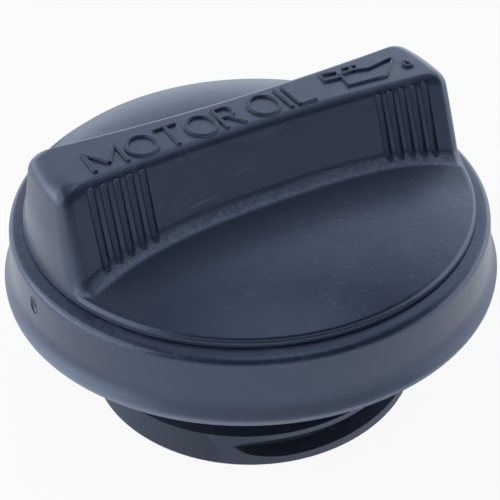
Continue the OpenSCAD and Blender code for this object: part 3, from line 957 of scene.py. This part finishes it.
# %% Camera
ELEVATION, DISTANCE, BAR_TURN = 42.6, 155.0, 28.5
ROLL, PAN, TILT, FOCAL_PX, FRAME_PX = -1.45, 0.02, 4.77, 1138.0, 500.0
spin = Matrix.Rotation(math.radians(-BAR_TURN), 3, "Z")
elevation = math.radians(ELEVATION)
back = spin @ Vector((0, -math.cos(elevation), math.sin(elevation)))
right = spin @ Vector((1, 0, 0))
up = back.cross(right)
pan = Matrix.Rotation(math.radians(PAN), 3, up)
right, ahead = pan @ right, pan @ -back
tilt = Matrix.Rotation(math.radians(TILT), 3, right)
ahead, up = tilt @ ahead, tilt @ up
roll = Matrix.Rotation(math.radians(-ROLL), 3, ahead)
right, up = roll @ right, roll @ up
lens = bpy.data.cameras.new("camera")
lens.sensor_width, lens.lens = 36.0, 36.0 * FOCAL_PX / FRAME_PX
lens.clip_start, lens.clip_end = 0.005, 5.0
camera = bpy.data.objects.new("camera", lens)
scene.collection.objects.link(camera)
columns = Matrix((right, up, -ahead)).transposed()
camera.matrix_world = Matrix.Translation(back * DISTANCE * MM) @ columns.to_4x4()
scene.camera = camera
print("camera at", [round(v / MM, 1) for v in camera.location])

# %% [markdown]
# The photograph is taken on white. More light would whiten a grey floor, but it would lighten the cap too.
# So the floor is a plain pale plane that camera, glossy and transmission rays see as nearly white, with a
# little of the object's soft shadow left on it.

# %% Floor
FLOOR_HALF, GLOW_SHARE = 900, 0.93
floor_corners = [(x * FLOOR_HALF, y * FLOOR_HALF, 0) for x, y in ((-1, -1), (1, -1), (1, 1), (-1, 1))]
floor = mesh_object("floor", floor_corners, [(0, 1, 2, 3)])
floor_paint = bpy.data.materials.new("floor_white")
floor_paint.use_nodes = True
tree = Tree(floor_paint.node_tree)
ray = tree.node("ShaderNodeLightPath")
seen = ray + ray.other("Is Glossy Ray") + ray.other("Is Transmission Ray")
lit = tree.node("ShaderNodeBsdfDiffuse", {}, {"Color": (0.85, 0.85, 0.85, 1)})
glow = tree.node("ShaderNodeEmission", {}, {"Color": (1, 1, 1, 1), "Strength": 1.0})
mixed = tree.node("ShaderNodeMixShader", {}, {0: seen.at_most(1.0) * GLOW_SHARE, 1: lit, 2: glow})
tree.node("ShaderNodeOutputMaterial", {}, {0: mixed})
floor.data.materials.append(floor_paint)
floor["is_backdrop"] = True
print("floor is", 2 * FLOOR_HALF, "mm wide")

# %% [markdown]
# The photograph's light comes from behind and from the sides, and only a little from the camera's side, so
# the bar's front is dark and the skirt's edges are pale. The world gives this light from fixed directions of
# the room: a broad band behind, stronger at its right end, a soft patch overhead, and a weak band at and
# under the horizon. Lamps could give it too, but the world's bands fade softly at their edges. To the
# camera itself the world is plain white.

# %% World
world = bpy.data.worlds.new("studio")
scene.world = world
world.use_nodes = True
tree = Tree(world.node_tree)
direction = tree.node("ShaderNodeTexCoord", out="Generated")


def along_axis(axis):
    """How much a direction of the world points along an axis, from -1 to 1."""
    return tree.node("ShaderNodeVectorMath", {"operation": "DOT_PRODUCT"}, {
        0: direction, 1: tuple(axis)}, out="Value")


way, across, high = along_axis(back), along_axis(right), along_axis((0, 0, 1))
side_light = abs(across).rise(0.1, 0.6) * 0.7 + 0.3
back_light = high.rise(0.5, 0.0) * side_light + across.rise(-0.3, 0.4) * 0.35 + 0.55
overhead = high.rise(0.87, 0.97) * (across.rise(-0.3, 0.1) * 0.6 + 0.4)
level = way.rise(0.45, 0.0) * back_light + overhead * 0.9 + high.rise(0.35, 0.05) * 0.3 + 0.1
ray = tree.node("ShaderNodeLightPath")
strength = tree.node("ShaderNodeMix", {}, {0: ray, 2: level, 3: 1.0})
tint = tree.mix(ray, (0.90, 0.96, 1.06, 1), (1, 1, 1, 1))
sky = tree.node("ShaderNodeBackground", {}, {"Color": tint, "Strength": strength})
tree.node("ShaderNodeOutputWorld", {}, {0: sky})
print("world with", len(world.node_tree.nodes), "nodes")

# %% [markdown]
# One large soft lamp on the left brightens that side of the skirt, as in the photograph. The view transform
# is Standard, so that a colour comes out as it is written.

# %% Lamp and view
def lamp(name, place, aim, width, watts):
    """A square area lamp; place and aim in millimetres."""
    data = bpy.data.lights.new(name, "AREA")
    data.size, data.energy = width * MM, watts
    made = bpy.data.objects.new(name, data)
    scene.collection.objects.link(made)
    made.location = Vector(place) * MM
    made.rotation_euler = (Vector(aim) - Vector(place)).to_track_quat("-Z", "Y").to_euler()


lamp("soft_left", place=(-260, 60, 110), aim=(0, 0, 20), width=320, watts=0.45)
scene.view_settings.view_transform = "Standard"
print("lamp is in place")

# %% [markdown]
# The dressed model's box is printed at the end. The dressed model has to stay inside the CAD model's box.

# %% Sizes and finish
low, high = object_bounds()
print("visual box in mm:", [round(v / MM, 2) for v in (*low, *high)])
